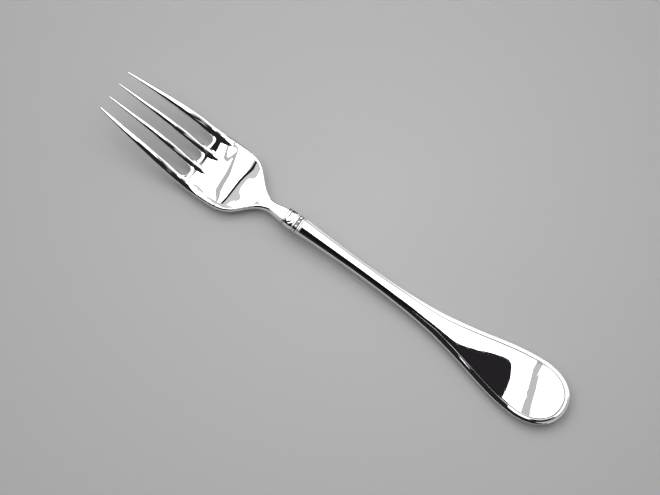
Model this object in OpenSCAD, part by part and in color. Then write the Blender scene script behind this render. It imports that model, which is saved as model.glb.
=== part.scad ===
// Dinner fork with a hollow handle, lying on a table with its tines turned up.
// The fork's length runs along X, with the tine tips at -X, and the table is at Z = 0.
// Stations are distances along the fork, counted from the tine tips.

/* [Overall] */
// Length of the whole fork
overall_length = 206; // [195:1:216]

/* [Head] */
// Length of the head, from the tine tips to the front of the collar
head_length = 78.4; // [74:0.2:82]
// Length of the tines, from their tips to the closed ends of the slots
tine_length = 39.6; // [37:0.2:42]
// Width across the widest part of the head
head_width = 27.2; // [25:0.1:29]
// Width across the outer tine tips
tip_spread = 18.2; // [16.5:0.1:20]
// Distance between the middle lines of the two inner tines at their tips
inner_tip_spread = 6.3; // [5.8:0.1:6.8]
// Distance between the middle lines of the two inner tines at the slot ends
inner_root_spread = 7.3; // [7:0.1:7.7]
// Width of an inner tine at the slot ends
inner_tine_width = 3.1; // [2.6:0.1:3.4]
// Width of an outer tine at the slot ends
outer_tine_width = 3.8; // [3.2:0.1:4.2]
// Width of each tine at its tip
tip_width = 0.55; // [0.4:0.05:0.8]
// Thickness of the tines at their tips
tip_thickness = 0.6; // [0.4:0.05:0.9]
// Thickness of the palm
palm_thickness = 2.65; // [2.2:0.05:3]
// Width over which the edges of tines and palm are rounded
edge_rounding = 1.25; // [0.9:0.05:1.5]
// Height of the underside of the tine tips above the table
tip_rise = 9.4; // [8:0.1:12]
// Depth of the dish across the palm
dish_depth = 3.3; // [2.5:0.1:4]
// How far the belly of the bowl and the back of the round end are flattened where they rest
rest_flat = 0.05; // [0.02:0.01:0.1]

/* [Neck and tang] */
// Width of the neck where it is narrowest
neck_width = 4.7; // [4.4:0.1:5.6]
// Width of the neck where it meets the collar
shoulder_width = 6.2; // [5.6:0.1:6.8]
// Thickness of the neck
neck_thickness = 4.3; // [4:0.1:4.6]
// Height of the neck's underside at the collar
neck_rise = 2.2; // [2:0.1:2.5]
// Diameter of the round tang inside the handle
tang_diameter = 2.2; // [1.8:0.1:2.4]
// Length of the tang
tang_length = 24; // [16:1:26]

/* [Collar and rings] */
// Height of the middle of the collar above the table
collar_height = 4.9; // [4.7:0.1:5.2]
// Width of the collar
collar_width = 7.4; // [7.1:0.1:7.8]
// Thickness of the collar
collar_thickness = 5.6; // [5.4:0.1:6]
// Length of the collar's smooth band
band_length = 4.2; // [3.6:0.1:5]
// Diameter of the plain rings on both sides of the beads
wire_diameter = 0.7; // [0.5:0.05:0.8]
// Diameter of the last ring, at the handle's mouth
mouth_ring_diameter = 0.8; // [0.6:0.05:0.9]
// Diameter of one bead
bead_diameter = 1.4; // [1.2:0.05:1.5]
// Number of beads round the ring
bead_count = 9; // [8:1:11]
// Length of the collar's nose inside the handle's mouth
nose_length = 1.6; // [1:0.1:2]

/* [Handle] */
// Width of the handle at its mouth
mouth_width = 6.7; // [6.5:0.1:7]
// Width of the handle where it is narrowest
waist_width = 5.3; // [5:0.1:6]
// Width of the round end
end_width = 25.4; // [23:0.2:27]
// Distance from the widest part of the round end to the tip of the handle
end_length = 16; // [14:0.5:18]
// Height of the front half above the seam, at the mouth
mouth_crown = 2.45; // [2.3:0.05:2.6]
// Height of the front half above the seam, along the handle
handle_crown = 1.5; // [1.4:0.05:1.8]
// Depth of the back half below the seam
handle_depth = 2.35; // [2.2:0.05:2.45]
// How far the tip of the round end turns up
end_lift = 2; // [0:0.1:2.5]
// Distance from the tip of the handle to where it begins to turn up
lift_length = 22; // [16:1:26]
// Width of the raised border along the edge of the round end
border_width = 2; // [1.5:0.1:2.4]
// Depth of the line inside the raised border
border_depth = 0.32; // [0.15:0.01:0.4]
// Wall of the pressed shells
shell_wall = 0.4; // [0.3:0.05:0.5]

/* [Fits] */
// Gap round the tang in its bores
tang_gap = 0.05; // [0.02:0.01:0.1]
// Gap between the rings and the sleeve that carries them
ring_gap = 0.05; // [0.02:0.01:0.1]
// Gap between the filler and the shells
filler_gap = 0.05; // [0.02:0.01:0.1]

/* [Hidden] */
$fn = 48;

// Places along the fork
slot_end = tine_length;
band_end = head_length + band_length;
front_wire_end = band_end + wire_diameter;
bead_end = front_wire_end + bead_diameter;
rear_wire_end = bead_end + wire_diameter;
mouth = rear_wire_end + mouth_ring_diameter;
end_start = overall_length - end_length;
end_seam_height = handle_depth - rest_flat;

// Each table below holds pairs: a share of a length, and the share of a size reached there.
// Along the head: rise of the underside, of tip_rise in front of the belly and of neck_rise behind
front_rise_shares = [
    [0, 1], [0.093, 0.878], [0.186, 0.747], [0.28, 0.596], [0.37, 0.434], [0.44, 0.3], [0.51, 0.176],
    [0.57, 0.083], [0.62, 0.027], [0.66, 0], [0.72, 0]];
back_rise_shares = [
    [0.66, 0], [0.7, 0], [0.765, 0.12], [0.816, 0.45], [0.867, 0.8], [0.918, 0.96], [1, 1]];
belly_share = 0.68;
// Along the head: way from the neck's width to the head's width
shoulder_shares = [
    [0.51, 0.99], [0.6, 1], [0.66, 0.988], [0.705, 0.968], [0.745, 0.888], [0.778, 0.755],
    [0.802, 0.585], [0.827, 0.396], [0.852, 0.216], [0.878, 0.09], [0.905, 0.02], [0.925, 0], [1, 0]];
// Along the tines: way from the tips' half width to the head's
tine_spread_shares = [
    [0, 0], [0.18, 0.27], [0.36, 0.5], [0.55, 0.7], [0.73, 0.86], [1, 0.975], [1.18, 1], [1.4, 1]];
// Share of the head's length where the outline passes from the tines' rule to the palm's
outline_join_share = 0.58;
// Along the tines: growth of a tine's width from tip to root
tine_width_shares = [[0, 0], [0.18, 0.28], [0.55, 0.73], [0.92, 1], [1, 1]];
// Along the head: depth of the dish, thickness from tip to palm, and on from palm to neck
dish_shares = [
    [0, 0.16], [0.25, 0.24], [0.38, 0.33], [0.51, 0.56], [0.64, 0.89], [0.7, 0.84], [0.765, 0.58],
    [0.816, 0.22], [0.867, 0.04], [0.9, 0], [1, 0]];
tine_thickness_shares = [
    [0, 0], [0.093, 0.35], [0.186, 0.6], [0.28, 0.78], [0.37, 0.9], [0.51, 1], [0.7, 1], [1, 1]];
neck_thickness_shares = [
    [0, 0], [0.72, 0], [0.765, 0.1], [0.816, 0.14], [0.867, 0.17], [0.918, 0.44], [0.957, 0.78],
    [1, 1]];
// Along the head: way from the neck's width to the width at the collar
shoulder_flare_shares = [[0, 0], [0.925, 0], [0.945, 0.15], [0.97, 0.7], [1, 1]];
// Share of the thickness that is left as a flat land at the very edge
edge_land_share = 0.3;
// Where the columns of points lie across one tine, as shares of its width
column_shares = [0, 0.05, 0.16, 0.34, 0.5, 0.66, 0.84, 0.95, 1];
// Rows of points along the head, as shares of its three stretches
tine_row_shares = [0, 0.03, 0.08, 0.16, 0.26, 0.38, 0.5, 0.62, 0.74, 0.86, 0.94, 1];
slot_row_shares = [0.35, 0.65, 0.87, 1];
palm_row_shares = [
    0.03, 0.08, 0.15, 0.24, 0.34, 0.43, 0.5, 0.55, 0.6, 0.64, 0.68, 0.72, 0.76, 0.8, 0.84, 0.88,
    0.92, 0.96, 1];
// Slot radii behind the slot ends over which the lanes return to even shares of the palm
lane_return = 4;
// Share of the neck's thickness at which the tang leaves its end
tang_seat_share = 0.54;

// From the mouth to the widest place of the round end: way from the waist's width to the end's,
// way from the waist's width to the mouth's, fall of the seam, and fall of the crown and the depth
handle_width_shares = [
    [0.236, 0], [0.38, 0.023], [0.497, 0.089], [0.603, 0.204], [0.71, 0.426], [0.82, 0.704],
    [0.892, 0.876], [0.964, 0.985], [1, 1]];
mouth_width_shares = [[0, 1], [0.1, 0.42], [0.236, 0], [1, 0]];
seam_fall_shares = [
    [0, 0], [0.1, 0.08], [0.236, 0.33], [0.38, 0.58], [0.5, 0.78], [0.65, 0.9], [0.8, 0.96],
    [1, 1], [1.2, 1]];
crown_fall_shares = [
    [0, 0], [0.1, 0.35], [0.2, 0.52], [0.32, 0.58], [0.46, 0.6], [0.6, 0.66], [0.74, 0.79],
    [0.86, 0.92], [0.96, 0.98], [1.04, 1], [1.2, 1]];
depth_fall_shares = [[0, 0], [0.1, 0.5], [0.25, 1], [1.2, 1]];
// Share by which the crown and the depth sink towards the tip of the round end
end_fall_share = 0.12;
// Exponents of the superellipses: round end, handle's back, inside of the shells, collar
end_power = 2.2;
back_power = 2.5;
inner_power = 2.2;
oval_power = 2.5;
// Exponents with which the back rises at the tip of the round end, and with which that end turns up
back_end_power = 0.35;
lift_power = 2.4;
// Across the border, from the edge inwards: share of its width, share of the crown
border_shares = [[0, 0.3], [0.1, 0.62], [0.3, 0.86], [0.55, 0.95], [0.8, 0.93]];
border_top_share = 0.8;
// Share of the crown at the line inside the border
border_line_share = 0.86;
// Largest share of the half width that the border takes
border_limit_share = 0.42;
// Columns across the panel inside the border, and across the back and the inside of the shells
panel_shares = [1, 0.88, 0.6, 0.3];
edge_column_shares = [0, 0.015, 0.05, 0.11, 0.19, 0.29, 0.4, 0.54, 0.69, 0.84];
// Rows along the handle, and then round its end
handle_row_shares = [
    0, 0.02, 0.05, 0.1, 0.16, 0.236, 0.31, 0.38, 0.44, 0.5, 0.55, 0.6, 0.65, 0.7, 0.75, 0.8, 0.85,
    0.9, 0.95, 0.975, 1];
end_row_angles = [12, 24, 35, 45, 54, 62, 69, 75, 80, 84, 87];

// Sides of the ovals and of the rings' wire
oval_sides = 40;
wire_sides = 8;

// Smooth curve through a table of pairs
function segment(t, x, i = 0) = i >= len(t) - 2 || x < t[i + 1][0] ? i : segment(t, x, i + 1);
function rate(t, i) =
    let(a = max(i - 1, 0), b = min(i + 1, len(t) - 1))
    (t[b][1] - t[a][1]) / (t[b][0] - t[a][0]);
function along(t, x) =
    let(i = segment(t, x),
        run = t[i + 1][0] - t[i][0],
        q = min(max((x - t[i][0]) / run, 0), 1))
    t[i][1] * (1 + 2 * q) * (1 - q) * (1 - q) + rate(t, i) * run * q * (1 - q) * (1 - q)
    + t[i + 1][1] * q * q * (3 - 2 * q) - rate(t, i + 1) * run * q * q * (1 - q);
function mix(a, b, share) = a + (b - a) * share;
function place(s, y, z) = [s - overall_length / 2, y, z];

// Head: outline, tines and slots
function tine_outline(s) =
    mix(tip_spread / 2, head_width / 2, along(tine_spread_shares, s / slot_end));
function palm_outline(s) =
    neck_width / 2 + (head_width - neck_width) / 2 * along(shoulder_shares, s / head_length)
    + (shoulder_width - neck_width) / 2 * along(shoulder_flare_shares, s / head_length);
function head_half_width(s) =
    s < head_length * outline_join_share ? tine_outline(s) : palm_outline(s);
function outline_slant(s) =
    let(a = max(s - tip_width, 0),
        b = min(s + tip_width, head_length))
    (head_half_width(b) - head_half_width(a)) / (b - a);
function inner_middle(s) = mix(inner_tip_spread, inner_root_spread, min(s / slot_end, 1)) / 2;
function tine_width(s, root_width) =
    mix(tip_width, root_width, along(tine_width_shares, min(s / slot_end, 1)));
function middle_gap(s) = inner_middle(s) - tine_width(s, inner_tine_width) / 2;
function side_gap_inner(s) = inner_middle(s) + tine_width(s, inner_tine_width) / 2;
function side_gap_outer(s) = head_half_width(s) - tine_width(s, outer_tine_width);
slot_radius = middle_gap(slot_end);
slot_turn = slot_end - slot_radius;
side_slot_middle = (side_gap_inner(slot_turn) + side_gap_outer(slot_turn)) / 2;
side_slot_radius = (side_gap_outer(slot_turn) - side_gap_inner(slot_turn)) / 2;
side_slot_share = side_slot_middle / head_half_width(slot_turn);
function slot_closing(s) = s <= slot_turn ? 1 : sqrt(max(1 - pow((s - slot_turn) / slot_radius, 2), 0));

// The head has four lanes: its tines, and behind the slot ends four strips of the palm. Their
// bounds 0 to 4 run across it: outer edge, side slot, middle slot, side slot, outer edge.
lanes = 4;
function side_bound(s) =
    s <= slot_turn
    ? (side_gap_inner(s) + side_gap_outer(s)) / 2
    : mix(side_slot_middle, head_half_width(s) * side_slot_share,
          min((s - slot_turn) / (slot_radius * lane_return), 1));
function bound_middle(s, i) =
    i == 0 ? -head_half_width(s)
    : i == 1 ? -side_bound(s)
    : i == 2 ? 0
    : i == 3 ? side_bound(s)
    : head_half_width(s);
function side_half_gap(s) =
    s <= slot_turn ? (side_gap_outer(s) - side_gap_inner(s)) / 2 : side_slot_radius;
function bound_half_gap(s, i) =
    i == 0 || i == lanes ? 0
    : (i == 2 ? middle_gap(min(s, slot_turn)) : side_half_gap(s)) * slot_closing(s);
function lane_low(s, i) = bound_middle(s, i) + bound_half_gap(s, i);
function lane_high(s, i) = bound_middle(s, i + 1) - bound_half_gap(s, i + 1);

// Distance to the nearest edge, and the thickness and heights that follow
function round_slot_distance(s, y, middle, radius) =
    s <= slot_turn ? abs(abs(y) - middle) - radius
    : sqrt(pow((s - slot_turn) * radius / slot_radius, 2) + pow(abs(y) - middle, 2)) - radius;
function edge_distance(s, y) =
    let(outer = (head_half_width(s) - abs(y)) / sqrt(1 + pow(outline_slant(s), 2)),
        centre = s <= slot_turn ? abs(y) - middle_gap(s) : round_slot_distance(s, y, 0, slot_radius),
        beside = s <= slot_turn
            ? abs(abs(y) - side_bound(s)) - side_half_gap(s)
            : round_slot_distance(s, y, side_slot_middle, side_slot_radius))
    max(min(outer, centre, beside), 0);
function head_thickness(s) =
    mix(tip_thickness, palm_thickness, along(tine_thickness_shares, s / head_length))
    + (neck_thickness - palm_thickness) * along(neck_thickness_shares, s / head_length);
function head_underside(s) =
    (s < head_length * belly_share
        ? tip_rise * along(front_rise_shares, s / head_length)
        : neck_rise * along(back_rise_shares, s / head_length))
    - rest_flat;
function rounding_share(s, y, lane_width) =
    let(reach = min(edge_rounding, lane_width / 2),
        q = min(edge_distance(s, y) / reach, 1))
    edge_land_share + (1 - edge_land_share) * sqrt(1 - (1 - q) * (1 - q));
function head_middle(s, y) =
    head_underside(s) + head_thickness(s) / 2
    + dish_depth * along(dish_shares, s / head_length) * pow(y / head_half_width(s), 2);
function head_top(s, y, lane_width) =
    place(s, y, head_middle(s, y) + head_thickness(s) / 2 * rounding_share(s, y, lane_width));
function head_back(s, y, lane_width) =
    place(s, y, max(head_middle(s, y) - head_thickness(s) / 2 * rounding_share(s, y, lane_width), 0));

// Points of the head: rows of stations, each with four lanes of columns, top and back
head_rows = concat(
    [for (q = tine_row_shares) q * slot_turn],
    [for (q = slot_row_shares) slot_turn + q * slot_radius],
    [for (q = palm_row_shares) mix(slot_end, head_length, q)]);
columns = len(column_shares);
root_row = len(tine_row_shares) + len(slot_row_shares) - 1;
last_row = len(head_rows) - 1;
head_points = [
    for (s = head_rows) for (i = [0:lanes - 1])
        let(low = lane_low(s, i),
            high = lane_high(s, i))
        for (c = column_shares)
            let(y = mix(low, high, c))
            each [head_top(s, y, high - low), head_back(s, y, high - low)]];
// Behind the slot ends the first column of a lane is the last column of the lane before it
function head_index(r, i, c, back) =
    r >= root_row && c == 0 && i > 0
    ? head_index(r, i - 1, columns - 1, back)
    : ((r * lanes + i) * columns + c) * 2 + back;
function quad(a, b, c, d) = [[a, b, c], [a, c, d]];
head_faces = [
    for (r = [0:last_row - 1]) for (i = [0:lanes - 1]) for (c = [0:columns - 2]) for (back = [0, 1])
        each (back == 0
            ? quad(head_index(r, i, c, 0), head_index(r, i, c + 1, 0),
                   head_index(r + 1, i, c + 1, 0), head_index(r + 1, i, c, 0))
            : quad(head_index(r, i, c, 1), head_index(r + 1, i, c, 1),
                   head_index(r + 1, i, c + 1, 1), head_index(r, i, c + 1, 1))),
    for (r = [0:last_row - 1]) for (i = [0:lanes - 1]) if (i == 0 || r < root_row)
        each quad(head_index(r, i, 0, 0), head_index(r + 1, i, 0, 0),
                  head_index(r + 1, i, 0, 1), head_index(r, i, 0, 1)),
    for (r = [0:last_row - 1]) for (i = [0:lanes - 1]) if (i == lanes - 1 || r < root_row)
        each quad(head_index(r, i, columns - 1, 0), head_index(r, i, columns - 1, 1),
                  head_index(r + 1, i, columns - 1, 1), head_index(r + 1, i, columns - 1, 0)),
    for (i = [0:lanes - 1]) for (c = [0:columns - 2])
        each quad(head_index(0, i, c, 0), head_index(0, i, c, 1),
                  head_index(0, i, c + 1, 1), head_index(0, i, c + 1, 0)),
    for (i = [0:lanes - 1]) for (c = [0:columns - 2])
        each quad(head_index(last_row, i, c, 0), head_index(last_row, i, c + 1, 0),
                  head_index(last_row, i, c + 1, 1), head_index(last_row, i, c, 1))];

// Round bar along the fork, from one station to another
module bar(from, to, diameter, height) {
    translate(place(from, 0, height))
        rotate([0, 90, 0])
            cylinder(d = diameter, h = to - from);
}
tang_height = neck_rise + neck_thickness * tang_seat_share;
tang_root = neck_thickness / 2;

module fork_head() {
    color("silver") {
        polyhedron(points = head_points, faces = head_faces, convexity = 8);
        bar(head_length - tang_root, head_length + tang_length, tang_diameter, tang_height);
    }
}

// Oval of the collar and its rings: a half size across and one upwards
function signed_power(v, p) = sign(v) * pow(abs(v), p);
function oval(across, up) = [for (k = [0:oval_sides - 1])
    let(a = 360 * k / oval_sides)
    [across * signed_power(cos(a), 2 / oval_power), up * signed_power(sin(a), 2 / oval_power)]];
function oval_ring(s, across, up) = [for (p = oval(across, up)) place(s, -p[0], collar_height + p[1])];
module sleeve(from, to, across, up) {
    translate(place(from, 0, collar_height))
        rotate([90, 0, 90])
            linear_extrude(height = to - from)
                polygon(oval(across, up));
}
// Solid through rings of points that all have the same count
module loft(rings) {
    n = len(rings[0]);
    polyhedron(
        points = [for (ring = rings) each ring],
        faces = [
            [for (k = [n - 1:-1:0]) k],
            for (r = [0:len(rings) - 2]) for (k = [0:n - 1])
                each quad(r * n + k, r * n + (k + 1) % n, (r + 1) * n + (k + 1) % n, (r + 1) * n + k),
            [for (k = [0:n - 1]) (len(rings) - 1) * n + k]],
        convexity = 4);
}

collar_across = collar_width / 2;
collar_up = collar_thickness / 2;
ring_seat = max(wire_diameter, mouth_ring_diameter) + ring_gap;
sleeve_across = collar_across - ring_seat;
sleeve_up = collar_up - ring_seat;
nose_across = mouth_width / 2 - shell_wall - ring_gap - wire_diameter / 4;
nose_up = mouth_crown - shell_wall - ring_gap - wire_diameter / 4;
// Along the smooth band: share of its length, share of the collar's oval
band_shares = [[0, 0.86], [0.06, 0.93], [0.16, 0.98], [0.3, 1], [0.9, 1], [0.97, 0.985], [1, 0.96]];
// Turn of the bead ring, as a share of a full turn, that sets a bead on top
bead_turn_share = 0.25;

module collar() {
    color("gainsboro")
        difference() {
            union() {
                loft([for (p = band_shares)
                    oval_ring(head_length + p[0] * band_length, collar_across * p[1], collar_up * p[1])]);
                sleeve(band_end - wire_diameter, mouth, sleeve_across, sleeve_up);
                sleeve(mouth - wire_diameter, mouth + nose_length, nose_across, nose_up);
            }
            bar(head_length - wire_diameter, mouth + nose_length + wire_diameter,
                tang_diameter + 2 * tang_gap, tang_height);
        }
}

// Ring of round wire bent to the collar's oval
module wire_ring(middle, diameter, across, up) {
    path = oval(across - diameter / 2, up - diameter / 2);
    points = [for (k = [0:oval_sides - 1])
        let(before = path[(k + oval_sides - 1) % oval_sides],
            after = path[(k + 1) % oval_sides],
            run = after - before,
            out = [run[1], -run[0]] / norm(run))
        for (j = [0:wire_sides - 1])
            let(a = 360 * j / wire_sides,
                reach = path[k] + out * diameter / 2 * cos(a))
            place(middle + diameter / 2 * sin(a), reach[0], collar_height + reach[1])];
    faces = [for (k = [0:oval_sides - 1]) for (j = [0:wire_sides - 1])
        let(n = (k + 1) % oval_sides,
            m = (j + 1) % wire_sides)
        each quad(k * wire_sides + j, k * wire_sides + m, n * wire_sides + m, n * wire_sides + j)];
    polyhedron(points = points, faces = faces, convexity = 6);
}
module front_wire() {
    color("whitesmoke")
        wire_ring((band_end + front_wire_end) / 2, wire_diameter, collar_across, collar_up);
}
module rear_wire() {
    color("whitesmoke")
        wire_ring((bead_end + rear_wire_end) / 2, wire_diameter, collar_across, collar_up);
}
module mouth_ring() {
    color("lightgray")
        wire_ring((rear_wire_end + mouth) / 2, mouth_ring_diameter, collar_across, collar_up);
}

// Beads stand at even steps along the oval, on a thin strip
strip_wall = wire_diameter / 2;
bead_path = oval(collar_across - bead_diameter / 2, collar_up - bead_diameter / 2);
path_steps = [for (k = [0:oval_sides - 1]) norm(bead_path[(k + 1) % oval_sides] - bead_path[k])];
function path_sum(k) = k == 0 ? 0 : path_sum(k - 1) + path_steps[k - 1];
path_length = path_sum(oval_sides);
function path_point(way, k = 0) =
    way <= path_steps[k] || k == oval_sides - 1
    ? mix(bead_path[k], bead_path[(k + 1) % oval_sides], way / path_steps[k])
    : path_point(way - path_steps[k], k + 1);

module bead_ring() {
    color("white")
        difference() {
            union() {
                sleeve(front_wire_end, bead_end, sleeve_across + ring_gap + strip_wall,
                       sleeve_up + ring_gap + strip_wall);
                for (k = [0:bead_count - 1]) {
                    way = path_length * ((k / bead_count + bead_turn_share) % 1);
                    p = path_point(way);
                    translate(place((front_wire_end + bead_end) / 2, p[0], collar_height + p[1]))
                        sphere(d = bead_diameter);
                }
            }
            sleeve(front_wire_end - wire_diameter, bead_end + wire_diameter, sleeve_across + ring_gap,
                   sleeve_up + ring_gap);
        }
}

// Handle: outline, seam and heights at a station
function handle_share(s) = (s - mouth) / (end_start - mouth);
function end_turn(s, start, length) =
    pow(max(1 - pow(max(s - start, 0) / length, end_power), 0), 1 / end_power);
function handle_half_width(s) =
    let(q = min(handle_share(s), 1),
        swell = (end_width - waist_width) / 2 * along(handle_width_shares, q),
        flare = (mouth_width - waist_width) / 2 * along(mouth_width_shares, q))
    (waist_width / 2 + swell + flare) * end_turn(s, end_start, end_length);
function end_share(s) = max(s - end_start, 0) / end_length;
function seam_height(s) =
    mix(collar_height, end_seam_height, along(seam_fall_shares, handle_share(s)))
    + end_lift * pow(max(s - overall_length + lift_length, 0) / lift_length, lift_power);
function end_fall(s) = 1 - end_fall_share * pow(end_share(s), 2);
function crown(s) =
    mix(mouth_crown, handle_crown, along(crown_fall_shares, handle_share(s))) * end_fall(s);
function depth(s) =
    mix(mouth_crown, handle_depth, along(depth_fall_shares, handle_share(s))) * end_fall(s);
function handle_slant(s) =
    let(step = shell_wall,
        a = max(s - step, mouth),
        b = min(s + step, overall_length))
    (handle_half_width(b) - handle_half_width(a)) / (b - a);
function border(s) = min(border_width, border_limit_share * handle_half_width(s));

// Distance from a point to the handle's edge, good enough for the border near the round end
function handle_edge_distance(s, y) =
    s <= end_start
    ? (handle_half_width(s) - abs(y)) / sqrt(1 + pow(handle_slant(s), 2))
    : let(q = pow(pow(end_share(s), end_power) + pow(abs(y) * 2 / end_width, end_power), 1 / end_power))
      (1 - q) * mix(end_width / 2, end_length, end_share(s));
// Height of the front over the seam: side, border, line inside the border and domed panel
function front_height(s, y) =
    let(b = border(min(s, end_start)),
        d = max(handle_edge_distance(s, y), 0) / b,
        line = border_line_share * crown(s) - border_depth / 2,
        reach = max(handle_half_width(min(s, end_start)) - b, shell_wall),
        inside = min(max((d - 1) * b / reach, 0), 1))
    d < border_top_share ? crown(s) * along(border_shares, d)
    : d < 1 ? mix(crown(s) * along(border_shares, border_top_share), line,
                  (d - border_top_share) / (1 - border_top_share))
    : mix(line, crown(s), 1 - pow(1 - inside, 2));
function back_height(s, c) =
    depth(s) * pow(max(1 - pow(abs(c), back_power), 0), 1 / back_power)
    * pow(end_turn(s, end_start, end_length), back_end_power);

// Columns across the handle, as shares of the half width from one edge to the other
function both_sides(half) =
    concat([for (c = half) -c], [0], [for (k = [len(half) - 1:-1:0]) half[k]]);
function front_columns(s) =
    let(b = min(border(min(s, end_start)) / handle_half_width(s), border_top_share))
    both_sides(concat([for (p = border_shares) 1 - b * p[0]], [for (q = panel_shares) q * (1 - b)]));
back_columns = both_sides([for (q = edge_column_shares) 1 - q]);
handle_rows = concat(
    [for (q = handle_row_shares) mix(mouth, end_start, q)],
    [for (a = end_row_angles) end_start + end_length * sin(a)]);

// Outside points of one half, from one edge on the seam over to the other edge on it
function seam_point(s, y) = place(s, y, seam_height(s));
function front_ring(s) =
    let(w = handle_half_width(s))
    concat([seam_point(s, -w)],
           [for (c = front_columns(s)) place(s, c * w, seam_height(s) + front_height(s, c * w))],
           [seam_point(s, w)]);
function back_ring(s) =
    let(w = handle_half_width(s))
    [for (c = back_columns) place(s, -c * w, max(seam_height(s) - back_height(s, c), 0))];
// Inside points: the outline drawn in all round by the wall, above (side 1) or below the seam (-1)
function inner_station(s, wall) =
    mix(mouth, overall_length - wall, (s - mouth) / (overall_length - mouth));
function inner_height(t, side) = side > 0 ? crown(t) : depth(t);
function inner_ring(s, side, wall) =
    let(t = inner_station(s, wall),
        u = min(t, end_start),
        turn = end_turn(t, end_start, end_length - wall),
        w = (handle_half_width(u) - wall * sqrt(1 + pow(handle_slant(u), 2))) * turn,
        rise = side * (inner_height(t, side) - wall) * turn)
    [for (c = back_columns)
        place(t, side * c * w,
              seam_height(t) + rise * pow(max(1 - pow(abs(c), inner_power), 0), 1 / inner_power))];

// Pressed half of the handle: outside rings, and inside rings that end in one point
module pressed_half(outer_rings, inner_rings) {
    n = len(outer_rings[0]);
    middle = (n - 1) / 2;
    last = len(outer_rings) - 1;
    inner = len(outer_rings) * n;
    tip = inner + last * n;
    tip_row = inner + (last - 1) * n;
    points = concat([for (ring = outer_rings) each ring],
                    [for (ring = inner_rings) each ring],
                    [seam_point(overall_length - shell_wall, 0)]);
    polyhedron(points = points, convexity = 6, faces = [
        for (r = [0:last - 1]) for (k = [0:n - 2])
            each quad(r * n + k, r * n + k + 1, (r + 1) * n + k + 1, (r + 1) * n + k),
        for (r = [0:last - 2]) for (k = [0:n - 2])
            each quad(inner + r * n + k, inner + (r + 1) * n + k,
                      inner + (r + 1) * n + k + 1, inner + r * n + k + 1),
        for (k = [0:n - 2])
            [tip_row + k, tip, tip_row + k + 1],
        for (r = [0:last - 2])
            each quad(r * n, (r + 1) * n, inner + (r + 1) * n, inner + r * n),
        for (r = [0:last - 2])
            each quad(r * n + n - 1, inner + r * n + n - 1,
                      inner + (r + 1) * n + n - 1, (r + 1) * n + n - 1),
        each quad((last - 1) * n, last * n, tip, tip_row),
        each quad((last - 1) * n + n - 1, tip_row + n - 1, tip, last * n + n - 1),
        [last * n, last * n + n - 1, tip],
        for (k = [0:middle - 2])
            each quad(last * n + k, last * n + k + 1, last * n + n - 2 - k, last * n + n - 1 - k),
        [last * n + middle - 1, last * n + middle, last * n + middle + 1],
        for (k = [0:n - 2])
            each quad(k, inner + k, inner + k + 1, k + 1)]);
}
shell_rows = [for (k = [0:len(handle_rows) - 2]) handle_rows[k]];

module handle_front_shell() {
    color("silver")
        pressed_half([for (s = handle_rows) front_ring(s)],
                     [for (s = shell_rows) inner_ring(s, 1, shell_wall)]);
}
module handle_back_shell() {
    color("darkgray")
        pressed_half([for (s = handle_rows) back_ring(s)],
                     [for (s = shell_rows) inner_ring(s, -1, shell_wall)]);
}

// Filler between the shells, from the collar's nose to the inside of the round end
filler_wall = shell_wall + filler_gap;
filler_start = mouth + nose_length * (overall_length - mouth) / (overall_length - filler_wall - mouth);
filler_rows = concat([filler_start], [for (s = shell_rows) if (s > filler_start + nose_length / 2) s]);

module handle_filler() {
    color("tan")
        difference() {
            loft([for (s = filler_rows)
                let(front = inner_ring(s, 1, filler_wall),
                    back = inner_ring(s, -1, filler_wall),
                    n = len(back))
                concat(front, [for (k = [1:n - 2]) back[k]])]);
            bar(mouth, head_length + tang_length + tang_gap, tang_diameter + 2 * tang_gap, tang_height);
        }
}

fork_head();
collar();
front_wire();
bead_ring();
rear_wire();
mouth_ring();
handle_front_shell();
handle_back_shell();
handle_filler();
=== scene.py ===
# %% [markdown]
# # A dinner fork in polished silver
# The fork lies on a pale table with its tines turned up. It has a forged head, a collar with
# beads, and a hollow handle pressed from two shells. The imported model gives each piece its
# place and size, and every piece here is built on the same stations along the fork, finely
# enough to mirror the studio without facets.

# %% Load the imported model
import math
import bmesh
import bpy
import numpy as np
from mathutils import Matrix, Vector


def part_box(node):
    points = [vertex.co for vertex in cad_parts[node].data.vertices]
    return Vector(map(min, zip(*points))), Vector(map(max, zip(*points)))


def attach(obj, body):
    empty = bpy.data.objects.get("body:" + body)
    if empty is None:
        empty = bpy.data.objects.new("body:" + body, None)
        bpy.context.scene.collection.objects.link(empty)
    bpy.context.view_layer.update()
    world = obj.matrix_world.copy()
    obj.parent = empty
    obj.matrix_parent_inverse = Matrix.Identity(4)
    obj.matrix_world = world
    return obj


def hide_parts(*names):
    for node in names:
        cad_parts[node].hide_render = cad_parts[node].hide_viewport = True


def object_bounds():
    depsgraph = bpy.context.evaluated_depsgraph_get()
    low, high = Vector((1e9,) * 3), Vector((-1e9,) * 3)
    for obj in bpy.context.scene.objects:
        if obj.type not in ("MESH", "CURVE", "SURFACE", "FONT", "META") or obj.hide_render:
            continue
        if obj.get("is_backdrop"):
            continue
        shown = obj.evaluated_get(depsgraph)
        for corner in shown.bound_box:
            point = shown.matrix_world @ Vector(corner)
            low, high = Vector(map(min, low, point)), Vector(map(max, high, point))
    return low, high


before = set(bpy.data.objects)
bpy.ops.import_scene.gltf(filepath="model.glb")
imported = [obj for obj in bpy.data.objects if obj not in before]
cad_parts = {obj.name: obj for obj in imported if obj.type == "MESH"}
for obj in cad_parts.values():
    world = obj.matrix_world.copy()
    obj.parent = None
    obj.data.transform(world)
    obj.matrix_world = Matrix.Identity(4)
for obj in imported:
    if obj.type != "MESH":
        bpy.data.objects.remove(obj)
cad_low, cad_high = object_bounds()
MM = 0.001


def show(label, *values):
    """Prints a label and some numbers, rounded."""
    print(label, *(round(float(v), 2) for v in values))


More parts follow.
